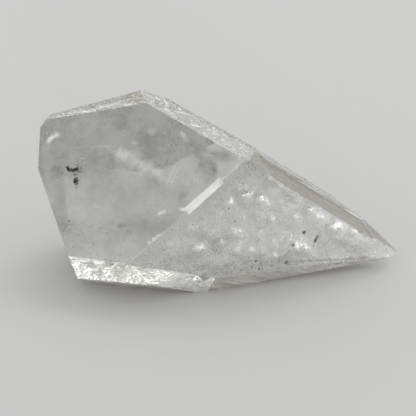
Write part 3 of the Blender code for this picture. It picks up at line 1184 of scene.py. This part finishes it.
def add_grains(name, points, sizes, material, stretch=0.0):
    """Many tiny eight-sided grains as one mesh; places in mm from the middle."""
    rng = random.Random(len(points))
    corners = [(1, 0, 0), (-1, 0, 0), (0, 1, 0), (0, -1, 0), (0, 0, 1), (0, 0, -1)]
    sides = [(0, 2, 4), (2, 1, 4), (1, 3, 4), (3, 0, 4), (2, 0, 5), (1, 2, 5), (3, 1, 5), (0, 3, 5)]
    verts = []
    faces = []
    for point, size in zip(points, sizes):
        angle = rng.uniform(0.0, math.tau)
        turn = Matrix.Rotation(angle, 3, Vector((rng.random(), rng.random(), 1.0)))
        shape = [1.0 + stretch * rng.uniform(-1.0, 1.0) for _ in range(3)]
        base = len(verts)
        for corner in corners:
            offset = Vector((corner[0] * shape[0], corner[1] * shape[1], corner[2] * shape[2]))
            verts.append(at(point + turn @ offset * size))
        faces.extend(tuple(base + index for index in side) for side in sides)
    add_inside(name, verts, faces, material)


def haze_sheet(rng, pixel, depth, size, turn, density):
    """Places and densities of the corners of one cloudy sheet, row by row."""
    centre, bent = inside(CLEAR_FACE, pixel, depth)
    first, second = seen_axes(bent, turn)
    lean = rng.uniform(-HAZE_LEAN, HAZE_LEAN)
    bow = rng.uniform(-HAZE_BOW, HAZE_BOW)
    sheet = []
    for row in range(HAZE_STEPS):
        for column in range(HAZE_STEPS):
            u = (column / (HAZE_STEPS - 1) - 0.5) * size[0]
            v = (row / (HAZE_STEPS - 1) - 0.5) * size[1]
            w = u * lean + bow * (u * u + v * v)
            point = centre + first * u + second * v + bent * w
            point += bent * HAZE_RIPPLE * noise.noise(point * HAZE_RIPPLES)
            reach = (2.0 * u / size[0]) ** 2 + (2.0 * v / size[1]) ** 2
            fade = max(0.0, 1.0 - reach**2)
            shown = (depth_under_rest(point) - HAZE_START) / HAZE_RISE
            sheet.append((point, density * fade * min(1.0, max(0.0, shown))))
    return sheet


def haze_quads(sheet, base):
    """The polygons of a sheet that lie well inside the crystal; base is added."""
    quads = []
    for row in range(HAZE_STEPS - 1):
        for column in range(HAZE_STEPS - 1):
            corner = row * HAZE_STEPS + column
            quad = (corner, corner + 1, corner + HAZE_STEPS + 1, corner + HAZE_STEPS)
            if all(inside_crystal(sheet[index][0], HAZE_MARGIN) for index in quad):
                quads.append(tuple(base + index for index in quad))
    return quads


def add_hazes():
    """The cloudiness inside, as thin curved sheets that fade out at their rims."""
    rng = random.Random(SEEDS["hazes"])
    corners = []
    quads = []
    for haze in HAZES.values():
        sheet = haze_sheet(rng, *haze)
        quads += haze_quads(sheet, len(corners))
        corners += sheet
    used = sorted({index for quad in quads for index in quad})
    renumbered = {old: new for new, old in enumerate(used)}
    faces = [tuple(renumbered[index] for index in quad) for quad in quads]
    verts = [at(corners[index][0]) for index in used]
    mesh = add_inside("hazes", verts, faces, haze_material())
    layer = mesh.attributes.new("density", "FLOAT", "POINT")
    layer.data.foreach_set("value", [corners[index][1] for index in used])
    for polygon in mesh.polygons:
        polygon.use_smooth = True


def haze_material():
    """White haze that lets most of the light through."""
    material = plain_material("haze", *HAZE_LOOK)
    wire = Wiring(material)
    wisps = wire.shape(wire.noise("haze_wisps"), "haze_wisps")
    fine = wire.shape(wire.noise("haze_fine"), "haze_fine")
    alpha = wire.times(wire.attribute("density"), wisps)
    alpha = wire.times(alpha, fine, clamp=True)
    wire.join(wire.shader.inputs["Alpha"], alpha)
    return material


def add_veils():
    """All the veils of tiny bubbles."""
    rng = random.Random(SEEDS["veils"])
    points = []
    for veil in VEILS.values():
        points += veil_points(rng, *veil)
    sizes = [rng.uniform(*BUBBLE_RADIUS) for _ in points]
    add_grains("veils", points, sizes, plain_material("bubble", *BUBBLE_LOOK))


def add_specks():
    """Black grains enclosed near the faces."""
    rng = random.Random(SEEDS["specks"])
    points = []
    sizes = []
    for pixel, depth, spread, size, count in SPECKS.values():
        centre, bent = inside(CLEAR_FACE, pixel, depth)
        first, second = seen_axes(bent, 0.0)
        for _ in range(count):
            u = rng.gauss(0.0, spread[0] / 2.0)
            v = rng.gauss(0.0, spread[1] / 2.0)
            points.append(centre + first * u + second * v)
            sizes.append(size * rng.uniform(*SPECK_SIZES))
    material = plain_material("carbon", *SPECK_LOOK)
    add_grains("dark_specks", points, sizes, material, SPECK_STRETCH)


def add_fleck(rng, verts, faces, centre, half, side):
    """One small leaf-shaped crack as a thin closed lens."""
    normal = half.cross(side).normalized()
    base = len(verts)
    for index in range(FLECK_CORNERS):
        angle = math.tau * index / FLECK_CORNERS
        reach = rng.uniform(*FLECK_RIM)
        verts.append(at(centre + half * math.cos(angle) * reach + side * math.sin(angle) * reach))
    verts.append(at(centre + normal * FLECK_THICKNESS))
    verts.append(at(centre - normal * FLECK_THICKNESS))
    for index in range(FLECK_CORNERS):
        follow = (index + 1) % FLECK_CORNERS
        faces.append((base + index, base + follow, base + FLECK_CORNERS))
        faces.append((base + follow, base + index, base + FLECK_CORNERS + 1))


def add_flecks():
    """Small cracks that catch the light."""
    rng = random.Random(SEEDS["flecks"])
    verts = []
    faces = []
    for pixel, depth, size, turn in FLECKS.values():
        place = [coordinate + rng.gauss(0.0, FLECK_STRAY) for coordinate in pixel]
        centre, bent = inside(CLEAR_FACE, place, depth)
        first, second = seen_axes(bent, turn)
        add_fleck(rng, verts, faces, centre, first * size[0] / 2.0, second * size[1] / 2.0)
    add_inside("cracks", verts, faces, plain_material("crack", *CRACK_LOOK))


def set_look():
    """Plain colours, and enough bounces for light inside a clear crystal."""
    scene = bpy.context.scene
    scene.view_settings.view_transform = "Standard"
    scene.cycles.max_bounces = 24
    scene.cycles.transmission_bounces = 20
    scene.cycles.glossy_bounces = 12
    scene.cycles.transparent_max_bounces = 24
    scene.cycles.sample_clamp_indirect = 6.0


add_camera()
add_lights()
add_room()
add_floor()
add_crystal()
add_hazes()
add_veils()
add_specks()
add_flecks()
set_look()
